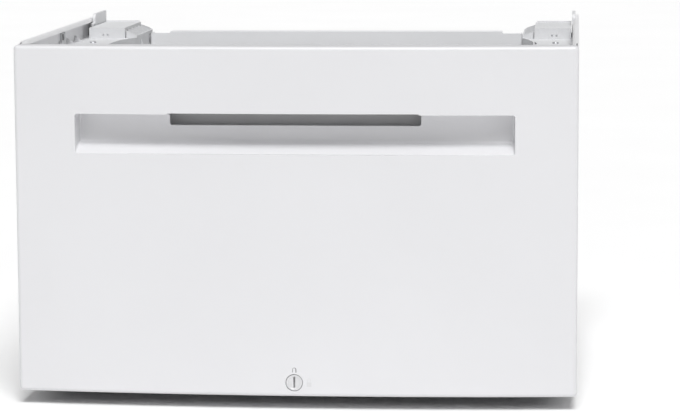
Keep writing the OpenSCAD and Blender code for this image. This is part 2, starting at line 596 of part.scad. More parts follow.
module housing_screws() {
    color([0.7, 0.71, 0.73]) {
        for (s = [-1, 1]) mirror([s < 0 ? 1 : 0, 0, 0]) {
            // carrier to wall
            for (y = [-190:95:190]) for (t = [-1, 1]) union() { rod_x(3.6, wi - 3.3, wi - 1.5, y, run_z + t * 38); rod_x(1.85, wi - 1.6, hw - 0.1, y, run_z + t * 38); }
            // outer runner member to carrier
            for (y = [-200, -40, 120, 220]) union() { rod_x(4, car_x + 1.5, car_x + 3, y, run_z); rod_x(2.15, car_x - 1.2, car_x + 1.6, y, run_z); }
            // rail to its support
            for (d = [130, 230, 330]) union() { rod_z(3.8, z_plate, z_plate + 1.8, 272, y_corner + d); rod_z(1.55, z_plate - 9, z_plate + 0.1, 272, y_corner + d); }
            // back panel to the side folds
            for (z = [40, 140, 240, 340]) union() { rod_y(3.6, y_r - 4.2, y_r - 2.4, hw - 12, z); rod_y(1.85, y_r - 2.5, y_r - 1.3, hw - 12, z); }
            // strike plate to the cross member
            union() { rod_y(3.4, y_hf + 11, y_hf + 12.6, 24, z_lock); rod_y(1.95, y_hf + 8, y_hf + 11.1, 24, z_lock); }
        }
    }
}
module front_buffers() {
    color([0.25, 0.25, 0.26])
    for (s = [-1, 1]) for (z = [60, 330]) translate([s * (hw - 10), y_hf, z]) rotate([90, 0, 0]) cylinder(r1 = 5.5, r2 = 4.5, h = 2.5, $fn = 48);
}

left() side_wall_half();  // side_wall_left
side_wall_half();  // side_wall_right
rear_panel();
front_cross_member();
rear_cross_member();
upper_front_bar();
upper_rear_beam();
left() foot_rail_half();  // foot_rail_left
foot_rail_half();  // foot_rail_right
left() support_rail_half();  // support_rail_left
support_rail_half();  // support_rail_right
left() guide_tab_half();  // guide_tab_left
guide_tab_half();  // guide_tab_right
left() foot_bracket_half(false);  // foot_bracket_front_left
foot_bracket_half(false);  // foot_bracket_front_right
left() foot_bracket_half(true);  // foot_bracket_rear_left
foot_bracket_half(true);  // foot_bracket_rear_right
left() carrier_half();  // runner_carrier_left
carrier_half();  // runner_carrier_right
left() runner_outer_half();  // runner_outer_left
runner_outer_half();  // runner_outer_right
lock_strike_plate();
foot_lock_nuts();
union() { wall_clips_half(); left() wall_clips_half(); }  // wall_clips
housing_screws();
front_buffers();
front_panel();
handle_recess();
grip_pocket();
drawer_front_plate();
left() drawer_side_half();  // drawer_side_left
drawer_side_half();  // drawer_side_right
drawer_bottom();
drawer_back();
left() runner_inner_half();  // runner_inner_left
runner_inner_half();  // runner_inner_right
lock_housing();
lock_ring_nut();
panel_screws();
drawer_screws();
lock_barrel();
lock_cam();
lock_cam_screw();
left() runner_middle_half();  // runner_middle_left
runner_middle_half();  // runner_middle_right
left() cage_outer_half();  // ball_cage_outer_left
cage_outer_half();  // ball_cage_outer_right
left() cage_inner_half();  // ball_cage_inner_left
cage_inner_half();  // ball_cage_inner_right
foot_pad(-1, false);  // foot_pad_front_left
foot_pad(1, false);  // foot_pad_front_right
foot_pad(-1, true);  // foot_pad_rear_left
foot_pad(1, true);  // foot_pad_rear_right
foot_stud(-1, false);  // foot_stud_front_left
foot_stud(1, false);  // foot_stud_front_right
foot_stud(-1, true);  // foot_stud_rear_left
foot_stud(1, true);  // foot_stud_rear_right
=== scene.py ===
import bpy
import bmesh
import json
import math
from mathutils import Vector, Matrix

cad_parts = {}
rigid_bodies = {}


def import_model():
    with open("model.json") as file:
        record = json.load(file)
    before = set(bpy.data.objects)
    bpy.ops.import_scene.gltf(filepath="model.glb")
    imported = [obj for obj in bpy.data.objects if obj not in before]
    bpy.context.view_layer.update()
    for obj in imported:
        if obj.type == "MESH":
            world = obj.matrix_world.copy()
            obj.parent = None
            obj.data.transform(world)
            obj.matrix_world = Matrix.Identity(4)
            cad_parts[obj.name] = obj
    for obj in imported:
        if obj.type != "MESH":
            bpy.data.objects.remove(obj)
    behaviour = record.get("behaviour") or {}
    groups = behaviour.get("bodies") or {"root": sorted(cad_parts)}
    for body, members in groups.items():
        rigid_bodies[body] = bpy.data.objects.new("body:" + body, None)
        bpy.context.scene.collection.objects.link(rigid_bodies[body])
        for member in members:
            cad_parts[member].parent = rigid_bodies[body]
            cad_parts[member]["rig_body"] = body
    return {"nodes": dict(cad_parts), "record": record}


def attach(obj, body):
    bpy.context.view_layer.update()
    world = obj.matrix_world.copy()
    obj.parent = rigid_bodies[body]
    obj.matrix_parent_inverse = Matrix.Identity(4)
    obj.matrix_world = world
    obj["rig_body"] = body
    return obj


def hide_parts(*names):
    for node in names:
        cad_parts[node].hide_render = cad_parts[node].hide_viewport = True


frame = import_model()
NODES = frame["nodes"]
BODY = {n: o["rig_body"] for n, o in NODES.items()}
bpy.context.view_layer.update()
scene = bpy.context.scene
MM = 0.001

# ------------------------------------------------------------------ sizes, in millimetres
HW, WI = 299.0, 297.8
Y_APEX, Y_CORNER, Y_PB, Y_HF, Y_R = -275.0, -261.0, -240.0, -236.0, 275.0
PANEL_Z, P_TOP = 15.0, 387.0
BOW_R = (HW * HW + 14.0 * 14.0) / 28.0
BOW_Y = Y_APEX + BOW_R
EDGE_R = 5.0
RZ1, RZ0, Y_REC, REC_T = 315.1, 273.1, -244.5, 2.2
Z_LOCK = 29.9
WALL_TOP, Z_PLATE, Z_PAD = 388.5, 366.7, 379.5
CAR_X, BOX_X, RUN_Z = 279.8, 267.1, 160.0
BOX_Y0, BOX_Y1 = -238.8, 225.0
FOOT_X, FOOT_YF, FOOT_YR = 262.0, -160.0, 238.0
BOSS_AT = [(x, 365.0) for x in (-278, -150, 0, 150, 278)] + [(-278, 165.0), (278, 165.0), (-278, 39.0), (278, 39.0), (-120, 39.0), (120, 39.0)]


def bow_at(x, t=0.0):
    return BOW_Y - math.sqrt((BOW_R - t) ** 2 - x * x)


# ------------------------------------------------------------------ camera
def make_camera():
    yaw, pitch, roll = math.radians(4.983), math.radians(7.504), math.radians(-0.246)
    f = Vector((-math.sin(yaw) * math.cos(pitch), math.cos(yaw) * math.cos(pitch), -math.sin(pitch)))
    r = Vector((math.cos(yaw), math.sin(yaw), 0.0))
    u = r.cross(f)
    rr = r * math.cos(roll) + u * math.sin(roll)
    uu = u * math.cos(roll) - r * math.sin(roll)
    cam = bpy.data.cameras.new("camera")
    cam.sensor_fit = "HORIZONTAL"
    cam.sensor_width = 36.0
    cam.lens = 2709.2 * 36.0 / 680.0
    cam.clip_start, cam.clip_end = 0.05, 100.0
    ob = bpy.data.objects.new("camera", cam)
    scene.collection.objects.link(ob)
    m = Matrix.Identity(4)
    for i in range(3):
        m[i][0], m[i][1], m[i][2] = rr[i], uu[i], -f[i]
    m[0][3], m[1][3], m[2][3] = 0.295, -3.089, 0.588
    ob.matrix_world = m
    scene.camera = ob


make_camera()

# ------------------------------------------------------------------ mesh helpers


def new_object(name, verts, faces, scale=MM):
    me = bpy.data.meshes.new(name)
    me.from_pydata([(x * scale, y * scale, z * scale) for x, y, z in verts], [], faces)
    me.validate()
    me.update()
    ob = bpy.data.objects.new(name, me)
    scene.collection.objects.link(ob)
    return ob


def outward(ob):
    bm = bmesh.new()
    bm.from_mesh(ob.data)
    bmesh.ops.recalc_face_normals(bm, faces=bm.faces)
    bm.to_mesh(ob.data)
    bm.free()
    ob.data.update()
    return ob


def loft(name, rings, caps=True):
    """Closed rings of equal length, joined by quads."""
    n = len(rings[0])
    verts = [p for r in rings for p in r]
    faces = []
    for i in range(len(rings) - 1):
        for j in range(n):
            k = (j + 1) % n
            faces.append((i * n + j, i * n + k, (i + 1) * n + k, (i + 1) * n + j))
    if caps:
        faces.append(tuple(range(n - 1, -1, -1)))
        faces.append(tuple((len(rings) - 1) * n + j for j in range(n)))
    return outward(new_object(name, verts, faces))


def box_object(name, x0, x1, y0, y1, z0, z1):
    v = [(x, y, z) for x in (x0, x1) for y in (y0, y1) for z in (z0, z1)]
    f = [(0, 1, 3, 2), (4, 6, 7, 5), (0, 4, 5, 1), (2, 3, 7, 6), (0, 2, 6, 4), (1, 5, 7, 3)]
    return outward(new_object(name, v, f))


def extrude_y(name, pts, y0, y1):
    """Outline of (x, z) points, drawn out along Y."""
    return loft(name, [[(x, y0, z) for x, z in pts], [(x, y1, z) for x, z in pts]])


def boolean(ob, tool, op="DIFFERENCE", keep=False, solver="EXACT"):
    m = ob.modifiers.new("cut", "BOOLEAN")
    m.operation, m.object, m.solver = op, tool, solver
    dg = bpy.context.evaluated_depsgraph_get()
    me = bpy.data.meshes.new_from_object(ob.evaluated_get(dg))
    ob.modifiers.clear()
    old = ob.data
    name = old.name
    ob.data = me
    bpy.data.meshes.remove(old)
    me.name = name
    if not keep:
        bpy.data.objects.remove(tool)
    return ob


def tidy(ob, dist=2e-6):
    bm = bmesh.new()
    bm.from_mesh(ob.data)
    bmesh.ops.remove_doubles(bm, verts=bm.verts, dist=dist)
    bmesh.ops.dissolve_degenerate(bm, edges=bm.edges, dist=dist)
    bmesh.ops.recalc_face_normals(bm, faces=bm.faces)
    bm.to_mesh(ob.data)
    bm.free()
    return ob


def bevel_edges(ob, pick, width, segments=3, profile=0.5):
    """Rounds the edges that pick(edge) says, width in millimetres."""
    bm = bmesh.new()
    bm.from_mesh(ob.data)
    bm.normal_update()
    edges = [e for e in bm.edges if len(e.link_faces) == 2 and pick(e)]
    if edges:
        bmesh.ops.bevel(bm, geom=edges, offset=width * MM, offset_type="OFFSET", segments=segments, profile=profile, affect="EDGES", clamp_overlap=True)
    bm.to_mesh(ob.data)
    bm.free()
    return ob


def smooth(ob, angle=32.0, weighted=True):
    ob.data.shade_smooth()
    ob.data.set_sharp_from_angle(angle=math.radians(angle))
    if weighted:
        m = ob.modifiers.new("normals", "WEIGHTED_NORMAL")
        m.mode, m.weight, m.keep_sharp = "FACE_AREA", 50, True
    return ob


class Soup:
    """Collects many small closed solids into one mesh."""

    def __init__(self):
        self.v, self.f = [], []

    def add(self, verts, faces, matrix=None):
        o = len(self.v)
        for p in verts:
            p = Vector(p)
            self.v.append(tuple(matrix @ p) if matrix is not None else tuple(p))
        self.f += [tuple(o + i for i in q) for q in faces]

    def make(self, name):
        return outward(new_object(name, self.v, self.f))


def lathe_data(profile, n=48):
    """(r, h) profile turned about Z; ends on the axis are closed with a fan."""
    verts, faces, rows = [], [], []
    for r, h in profile:
        if r < 1e-6:
            rows.append([len(verts)])
            verts.append((0.0, 0.0, h))
        else:
            rows.append([len(verts) + i for i in range(n)])
            verts += [(r * math.cos(2 * math.pi * i / n), r * math.sin(2 * math.pi * i / n), h) for i in range(n)]
    for a, b in zip(rows, rows[1:]):
        for i in range(n):
            j = (i + 1) % n
            q = [a[i % len(a)], a[j % len(a)], b[j % len(b)], b[i % len(b)]]
            out = []
            for k in q:
                if k not in out:
                    out.append(k)
            if len(out) > 2:
                faces.append(tuple(out))
    return verts, faces


def mesh_data(ob, scale=1000.0):
    v = [tuple(c * scale for c in p.co) for p in ob.data.vertices]
    f = [tuple(p.vertices) for p in ob.data.polygons]
    return v, f


def turn_to(axis, at):
    """Matrix that takes +Z to an axis and the origin to a point."""
    return Matrix.Translation(Vector(at)) @ Vector((0, 0, 1)).rotation_difference(Vector(axis)).to_matrix().to_4x4()


# ------------------------------------------------------------------ materials


def add(nt, kind, **props):
    n = nt.nodes.new(kind)
    for k, v in props.items():
        setattr(n, k, v)
    return n


def base_material(name, color, rough, metallic=0.0, specular=0.5):
    m = bpy.data.materials.new(name)
    m.use_nodes = True
    nt = m.node_tree
    b = nt.nodes["Principled BSDF"]
    b.inputs["Base Color"].default_value = (*color, 1.0)
    b.inputs["Roughness"].default_value = rough
    b.inputs["Metallic"].default_value = metallic
    b.inputs["Specular IOR Level"].default_value = specular
    return m, nt, b


def coords(nt, scale=(1, 1, 1)):
    tc = add(nt, "ShaderNodeTexCoord")
    mp = add(nt, "ShaderNodeMapping")
    mp.inputs["Scale"].default_value = scale
    nt.links.new(tc.outputs["Object"], mp.inputs["Vector"])
    return mp.outputs["Vector"]


def noise(nt, vec, scale, detail=3.0, rough=0.55):
    n = add(nt, "ShaderNodeTexNoise")
    n.inputs["Scale"].default_value = scale
    n.inputs["Detail"].default_value = detail
    n.inputs["Roughness"].default_value = rough
    nt.links.new(vec, n.inputs["Vector"])
    return n.outputs["Fac"]


def spread(nt, fac, lo, hi, a=0.3, b=0.7):
    r = add(nt, "ShaderNodeMapRange")
    r.inputs["From Min"].default_value = a
    r.inputs["From Max"].default_value = b
    r.inputs["To Min"].default_value = lo
    r.inputs["To Max"].default_value = hi
    nt.links.new(fac, r.inputs["Value"])
    return r.outputs["Result"]


def tint(nt, b, fac, dark, light):
    """Base colour between two close tones."""
    mix = add(nt, "ShaderNodeMix", data_type="RGBA")
    mix.inputs["A"].default_value = (*dark, 1.0)
    mix.inputs["B"].default_value = (*light, 1.0)
    nt.links.new(fac, mix.inputs["Factor"])
    nt.links.new(mix.outputs["Result"], b.inputs["Base Color"])


def bump(nt, b, fac, strength, distance, under=None):
    n = add(nt, "ShaderNodeBump")
    n.inputs["Strength"].default_value = strength
    n.inputs["Distance"].default_value = distance
    nt.links.new(fac, n.inputs["Height"])
    if under is not None:
        nt.links.new(under, n.inputs["Normal"])
    nt.links.new(n.outputs["Normal"], b.inputs["Normal"])
    return n.outputs["Normal"]


def scaled(color, k):
    return tuple(c * k for c in color)


def plastic(name, color, rough, grain=900.0, depth=0.00003, strength=0.35, vary=0.02, specular=0.5, coat=0.0):
    """Moulded or painted surface: fine grain, slow drift of tone and gloss."""
    m, nt, b = base_material(name, color, rough, specular=specular)
    v = coords(nt)
    slow = noise(nt, v, 7.0, 2.0)
    tint(nt, b, spread(nt, slow, 0.0, 1.0), scaled(color, 1.0 - vary), scaled(color, 1.0 + vary * 0.4))
    mid = noise(nt, v, 60.0, 3.0)
    nt.links.new(spread(nt, mid, rough - 0.05, rough + 0.05), b.inputs["Roughness"])
    fine = noise(nt, v, grain, 3.0, 0.6)
    bump(nt, b, fine, strength, depth)
    if coat:
        b.inputs["Coat Weight"].default_value = coat
        b.inputs["Coat Roughness"].default_value = 0.2
    return m


def steel(name, color, rough, streak=(40.0, 6.0, 40.0), vary=0.10, strength=0.25, metallic=0.9, spangle=0.0):
    """Rolled or plated sheet: streaks along Y, patches of tone, optional zinc spangle."""
    m, nt, b = base_material(name, color, rough, metallic=metallic)
    v = coords(nt)
    vs = coords(nt, streak)
    slow = noise(nt, v, 14.0, 4.0)
    fac = spread(nt, slow, 0.0, 1.0)
    if spangle:
        vor = add(nt, "ShaderNodeTexVoronoi", feature="F1")
        vor.inputs["Scale"].default_value = spangle
        nt.links.new(v, vor.inputs["Vector"])
        sep = add(nt, "ShaderNodeSeparateColor")
        nt.links.new(vor.outputs["Color"], sep.inputs["Color"])
        mixf = add(nt, "ShaderNodeMix", data_type="FLOAT")
        mixf.inputs["Factor"].default_value = 0.6
        nt.links.new(fac, mixf.inputs["A"])
        nt.links.new(sep.outputs["Red"], mixf.inputs["B"])
        fac = mixf.outputs["Result"]
    tint(nt, b, fac, scaled(color, 1.0 - vary), scaled(color, 1.0 + vary * 0.5))
    st = noise(nt, vs, 30.0, 4.0, 0.65)
    nt.links.new(spread(nt, st, rough - 0.08, rough + 0.10), b.inputs["Roughness"])
    bump(nt, b, st, strength, 0.00002)
    return m


WHITE = (0.80, 0.80, 0.815)
M = {
    "panel_white": plastic("panel_white", (0.70, 0.70, 0.716), 0.36, grain=650.0, depth=0.00002, strength=0.25, vary=0.012, coat=0.0),
    "wall_white": plastic("wall_white", (0.86, 0.86, 0.872), 0.34, grain=420.0, depth=0.00003, strength=0.3, vary=0.02),
    "light_plastic": plastic("light_plastic", (0.70, 0.705, 0.718), 0.52, grain=1500.0, depth=0.00004, strength=0.5, vary=0.03),
    "pocket_plastic": plastic("pocket_plastic", (0.64, 0.64, 0.65), 0.6, grain=1500.0, depth=0.00004, strength=0.5, vary=0.03),
    "coated_steel": plastic("coated_steel", (0.83, 0.835, 0.848), 0.45, grain=1100.0, depth=0.00004, strength=0.45, vary=0.02),
    "galvanised": steel("galvanised", (0.60, 0.61, 0.63), 0.42, spangle=90.0, vary=0.16),
    "runner_steel": steel("runner_steel", (0.72, 0.73, 0.75), 0.28),
    "cage_steel": steel("cage_steel", (0.72, 0.63, 0.40), 0.32),
    "zinc": steel("zinc", (0.66, 0.67, 0.69), 0.30, streak=(60, 60, 60)),
    "lock_metal": steel("lock_metal", (0.66, 0.66, 0.67), 0.42, streak=(260.0, 260.0, 30.0), vary=0.06, strength=0.5, metallic=0.2),
    "black_rubber": plastic("black_rubber", (0.018, 0.018, 0.019), 0.75, grain=1200.0, depth=0.00006, strength=0.6, vary=0.15, specular=0.3),
}
MARK = plastic("mark_grey", (0.30, 0.30, 0.31), 0.6, grain=1500.0, depth=0.00003, strength=0.4)
MARK_PALE = plastic("mark_pale", (0.64, 0.64, 0.65), 0.6, grain=1500.0, depth=0.00003, strength=0.4)
SLOT_OF = {s["node"]: s["material_slot"] for s in frame["record"]["subparts"]}


def paint(ob, material):
    ob.data.materials.clear()
    ob.data.materials.append(material)
    for p in ob.data.polygons:
        p.material_index = 0


def piece(ob, nodes, body=None, slot=None, replace=True):
    """Makes ob a piece that stands for CAD nodes."""
    s = slot or SLOT_OF[nodes[0]]
    if not ob.data.materials:
        paint(ob, M[s])
    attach(ob, body or BODY[nodes[0]])
    if replace:
        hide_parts(*nodes)
    return ob


# shading group for the CAD meshes: smooth except at edges sharper than an angle
def shade_group():
    g = bpy.data.node_groups.new("shade_by_angle", "GeometryNodeTree")
    g.interface.new_socket("Geometry", in_out="INPUT", socket_type="NodeSocketGeometry")
    g.interface.new_socket("Geometry", in_out="OUTPUT", socket_type="NodeSocketGeometry")
    i, o = g.nodes.new("NodeGroupInput"), g.nodes.new("NodeGroupOutput")
    a = g.nodes.new("GeometryNodeSetShadeSmooth")
    a.domain = "FACE"
    e = g.nodes.new("GeometryNodeSetShadeSmooth")
    e.domain = "EDGE"
    e.inputs["Shade Smooth"].default_value = False
    ang = g.nodes.new("GeometryNodeInputMeshEdgeAngle")
    cmp = g.nodes.new("FunctionNodeCompare")
    cmp.data_type, cmp.operation = "FLOAT", "GREATER_THAN"
    cmp.inputs["B"].default_value = math.radians(40.0)
    g.links.new(i.outputs[0], a.inputs["Geometry"])
    g.links.new(a.outputs["Geometry"], e.inputs["Geometry"])
    g.links.new(ang.outputs["Unsigned Angle"], cmp.inputs["A"])
    g.links.new(cmp.outputs["Result"], e.inputs["Selection"])
    g.links.new(e.outputs["Geometry"], o.inputs[0])
    return g


SHADE = shade_group()


def dress(ob, width=0.35, segments=2, limit=38.0):
    """Rounds the edges of a CAD mesh with modifiers only."""
    w = ob.modifiers.new("weld", "WELD")
    w.merge_threshold = 1e-5
    d = ob.modifiers.new("planar", "DECIMATE")
    d.decimate_type, d.angle_limit = "DISSOLVE", math.radians(0.6)
    if width:
        b = ob.modifiers.new("bevel", "BEVEL")
        b.width, b.segments, b.limit_method, b.angle_limit = width * MM, segments, "ANGLE", math.radians(limit)
        b.use_clamp_overlap = True
        b.miter_outer = "MITER_SHARP"
    s = ob.modifiers.new("shade", "NODES")
    s.node_group = SHADE
    n = ob.modifiers.new("normals", "WEIGHTED_NORMAL")
    n.mode, n.weight, n.keep_sharp = "FACE_AREA", 50, True


# ------------------------------------------------------------------ front panel


def plan(t, yb, nb=150, nc=12):
    """Outline of the panel seen from above, set in by t."""
    w, r, R = HW - t, max(EDGE_R - t, 0.6), BOW_R - t
    cx = w - r
    cy = BOW_Y - math.sqrt((R - r) ** 2 - cx * cx)
    am = math.asin(cx / (R - r))
    a0 = am - math.pi / 2
    pts = [(R * math.sin(am * (2 * i / nb - 1)), BOW_Y - R * math.cos(am * (2 * i / nb - 1))) for i in range(nb + 1)]
    pts += [(cx + r * math.cos(a0 * (1 - i / nc)), cy + r * math.sin(a0 * (1 - i / nc))) for i in range(1, nc + 1)]
    pts += [(w, yb), (-w, yb)]
    pts += [(-cx - r * math.cos(-a0 * i / nc), cy - r * math.sin(-a0 * i / nc)) for i in range(nc)]
    return pts


def ring(t, yb, z):
    return [(x, y, z) for x, y in plan(t, yb)]


def panel_outer(R=4.0, n=8):
    rings = []
    for i in range(n + 1):
        a = -math.pi / 2 + math.pi / 2 * i / n
        rings.append(ring(R * (1 - math.cos(a)), Y_PB, PANEL_Z + R + R * math.sin(a)))
    for i in range(n + 1):
        a = math.pi / 2 * i / n
        rings.append(ring(R * (1 - math.cos(a)), Y_PB, P_TOP - R + R * math.sin(a)))
    return loft("front_panel_shell", rings)


def floor_z(t):
    return RZ0 + 9.5 * (1 - (1 - t) ** 1.8)


def recess_profile(off=0.0, fillet=5.0, front=Y_APEX - 3.0):
    """(y, z) outline of the recess: floor, back, ceiling; moved inwards by off."""
    y_a, y_b = Y_APEX + 9.0, Y_REC
    r = fillet

    def P(t):
        return y_a + (y_b - y_a) * t, floor_z(t)

    def slope(t):
        return math.atan2(9.5 * 1.8 * max(1 - t, 1e-6) ** 0.8, (y_b - y_a))

    lo, hi = 0.0, 1.0
    for _ in range(40):
        t = (lo + hi) / 2
        if P(t)[0] < y_b - r * (1 - math.sin(slope(t))):
            lo = t
        else:
            hi = t
    te, al = lo, slope(lo)
    cy, cz = P(te)[0] - r * math.sin(al), P(te)[1] + r * math.cos(al)
    pts = [(front, RZ0)]
    # a soft start of the curve at the front
    pts += [P(te * i / 16) for i in range(17)]
    m = 8
    for i in range(1, m + 1):
        a = -math.pi / 2 + al + (math.pi / 2 - al) * i / m
        pts.append((cy + r * math.cos(a), cz + r * math.sin(a)))
    pts += [(y_b, RZ1), (front, RZ1)]
    if off:
        n = len(pts)
        out = []
        for i, p in enumerate(pts):
            if i == 0 or i == n - 1:
                s = 1 if i == 0 else -1
                out.append((p[0], p[1] + s * off))
                continue
            a, b = Vector(pts[i - 1]), Vector(pts[i + 1])
            q = Vector(p)
            d1, d2 = (q - a).normalized(), (b - q).normalized()
            n1, n2 = Vector((-d1.y, d1.x)), Vector((-d2.y, d2.x))
            mid = (n1 + n2).normalized()
            k = off / max(mid.dot(n1), 0.3)
            out.append((q.x + mid.x * k, q.y + mid.y * k))
        pts = out
    return pts


def recess_cutter(round_r=2.6, n=6):
    """The hollow of the recess with leaning, rounded ends."""
    def half_at(y):
        return 233.75 - 2.15 * min(max((y - Y_APEX) / 30.5, 0.0), 1.0)

    stations = []
    for i in range(n + 1):
        a = math.pi / 2 * i / n
        stations.append((round_r * (1 - math.cos(a)), round_r * (1 - math.sin(a))))
    # stations: (inset of the profile, distance back from the end plane)
    left = [[(-(half_at(y) - back), y, z) for y, z in recess_profile(inset)] for inset, back in reversed(stations)]
    right = [[(half_at(y) - back, y, z) for y, z in recess_profile(inset)] for inset, back in stations]
    return loft("recess_cut", left + right)


def rounded_outline(x0, x1, z0, z1, r, n=5, which=("bl", "br", "tr", "tl")):
    pts = []
    for key, cx, cz, a0 in (("bl", x0 + r, z0 + r, math.pi), ("br", x1 - r, z0 + r, 1.5 * math.pi), ("tr", x1 - r, z1 - r, 0.0), ("tl", x0 + r, z1 - r, 0.5 * math.pi)):
        if key in which:
            pts += [(cx + r * math.cos(a0 + math.pi / 2 * i / n), cz + r * math.sin(a0 + math.pi / 2 * i / n)) for i in range(n + 1)]
        else:
            pts.append({"bl": (x0, z0), "br": (x1, z0), "tr": (x1, z1), "tl": (x0, z1)}[key])
    return pts


NOTCH_Z = RZ1 + 1.2
SLOT_Z0 = 301.4


def on_bow(v, tol=0.03):
    x, y, z = v.co.x * 1000, v.co.y * 1000, v.co.z * 1000
    return abs(x) < 292 and 19 < z < 383 and abs(y - bow_at(x)) < tol


def make_panel():
    ob = panel_outer()
    # hollow behind the skin, left open at the back
    hollow = loft("hollow", [[(x, y, z) for x, y in plan(2.5, Y_PB + 6, 60, 6)] for z in (PANEL_Z + 2.5, P_TOP - 2.5)])
    shell = [(y, z) for y, z in recess_profile(-REC_T, 3.0)]
    wall = loft("wall", [[(s * (233.75 + REC_T), y, z) for y, z in shell] for s in (-1, 1)])
    boolean(hollow, wall)
    boolean(ob, hollow)
    boolean(ob, recess_cutter())
    # the lip over the finger slot is set a little higher
    boolean(ob, loft("notch", [[(x, y, z) for x, z in rounded_outline(-133.2, 132.4, RZ1 - 6, NOTCH_Z, 1.0, 3, ("tr", "tl"))] for y in (Y_APEX - 3, Y_REC + 0.3)]))
    # finger slot, with a small hook at its upper left corner
    slot = rounded_outline(-134.3, 133.4, SLOT_Z0, NOTCH_Z, 2.6, 5, ("bl", "br"))
    i = slot.index((-134.3, NOTCH_Z))
    slot[i:i + 1] = [(-137.6, NOTCH_Z), (-137.6, NOTCH_Z - 2.6), (-135.2, NOTCH_Z - 3.6), (-134.3, NOTCH_Z - 4.6)]
    boolean(ob, extrude_y("slot_cut", slot, Y_REC - 0.6, Y_REC + 3.5))
    # hole of the lock
    v, f = lathe_data([(0, 0), (9.25, 0), (9.25, 9), (0, 9)], 72)
    s = Soup()
    s.add(v, f, turn_to((0, 1, 0), (0, Y_APEX - 1.5, Z_LOCK)))
    boolean(ob, s.make("lock_cut"))
    tidy(ob)

    def rim(e):
        return on_bow(e.verts[0]) and on_bow(e.verts[1]) and e.calc_face_angle(0.0) > math.radians(25)

    def notch_rim(e):
        return rim(e) and all(v.co.z * 1000 > RZ1 + 0.5 for v in e.verts) and all(abs(v.co.x) < 0.134 for v in e.verts)

    def other_rim(e):
        if not rim(e) or notch_rim(e):
            return False
        return all((Vector((v.co.x, v.co.z - Z_LOCK * MM))).length > 0.012 for v in e.verts)

    bevel_edges(ob, notch_rim, 1.5, 4)
    bevel_edges(ob, other_rim, 1.1, 4)

    def lock_rim(e):
        return rim(e) and all((Vector((v.co.x, v.co.z - Z_LOCK * MM))).length < 0.012 for v in e.verts)

    bevel_edges(ob, lock_rim, 0.5, 3)

    def slot_rim(e):
        ok = all(abs(v.co.y * 1000 - Y_REC) < 0.02 and abs(v.co.x) < 0.139 and v.co.z * 1000 < RZ1 + 0.4 for v in e.verts)
        return ok and e.calc_face_angle(0.0) > math.radians(40)

    bevel_edges(ob, slot_rim, 0.5, 3)
    tidy(ob)
    return ob


# marks beside the lock: a small padlock, open above it and closed to the right


def padlock(cx, cz, w, h, opened):
    """Outlines of the body and the shackle as (x, z) loops."""
    bw, bh = w, h * 0.52
    body_o = rounded_outline(cx - bw / 2, cx + bw / 2, cz - h / 2, cz - h / 2 + bh, 0.4, 3)
    lw = 0.42
    ro = bw * 0.34
    top = cz + h / 2 - ro
    base = cz - h / 2 + bh - 0.05
    foot = base + (1.1 if opened else 0.0)
    arc = [(cx + ro * math.cos(math.pi * i / 14), top + ro * math.sin(math.pi * i / 14)) for i in range(15)]
    inn = [(cx + (ro - lw) * math.cos(math.pi * i / 14), top + (ro - lw) * math.sin(math.pi * i / 14)) for i in range(14, -1, -1)]
    shackle = [(cx + ro, base)] + arc + [(cx - ro, foot), (cx - ro + lw, foot)] + inn + [(cx + ro - lw, base)]
    return body_o, shackle


def mark_solid(name, pts, depth0, depth1, grow=0.0):
    """Prism of an (x, z) outline between two depths behind the bow."""
    rings = [[(x, bow_at(x) + d, z) for x, z in pts] for d in (depth0, depth1)]
    return loft(name, rings)


def make_marks(panel):
    for name, cx, cz, w, h, opened, mat in (("mark_open", 0.2, 43.6, 4.6, 5.4, True, MARK), ("mark_closed", 15.9, 30.2, 5.0, 9.0, False, MARK_PALE)):
        body_o, shackle = padlock(cx, cz, w, h, opened)
        made = Soup()
        for depth0, depth1, cut in ((-0.5, 0.22, True), (0.07, 0.20, False)):
            if opened:
                # an open shackle: an arch with one leg heavier than the other
                n = 16
                out = [(cx - w / 2, cz - h / 2)] + [(cx - w / 2 * math.cos(math.pi * i / n), cz + h / 2 - w / 2 + w / 2 * math.sin(math.pi * i / n)) for i in range(n + 1)] + [(cx + w / 2, cz - h / 2)]
                x0, x1, zt = cx - w / 2 + 0.8, cx + w / 2 - 1.25, cz + h / 2 - w / 2
                hx, mx = (x1 - x0) / 2, (x1 + x0) / 2
                inn = [(x1, cz - h / 2)] + [(mx + hx * math.cos(math.pi * i / n), zt + hx * 1.3 * math.sin(math.pi * i / n)) for i in range(n + 1)] + [(x0, cz - h / 2)]
                parts = [mark_solid("m", out + inn, depth0, depth1)]
            else:
                parts = [mark_solid("m", body_o, depth0, depth1), mark_solid("m3", shackle, depth0, depth1)]
            for q in parts:
                if cut:
                    boolean(panel, q)
                else:
                    made.add(*mesh_data(q))
                    bpy.data.objects.remove(q)
        ob = made.make(name)
        paint(ob, mat)
        smooth(ob, 30, False)
        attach(ob, "drawer")


panel = make_panel()
make_marks(panel)
smooth(panel, 34)
piece(panel, ["front_panel", "handle_recess"])

# ------------------------------------------------------------------ lock core


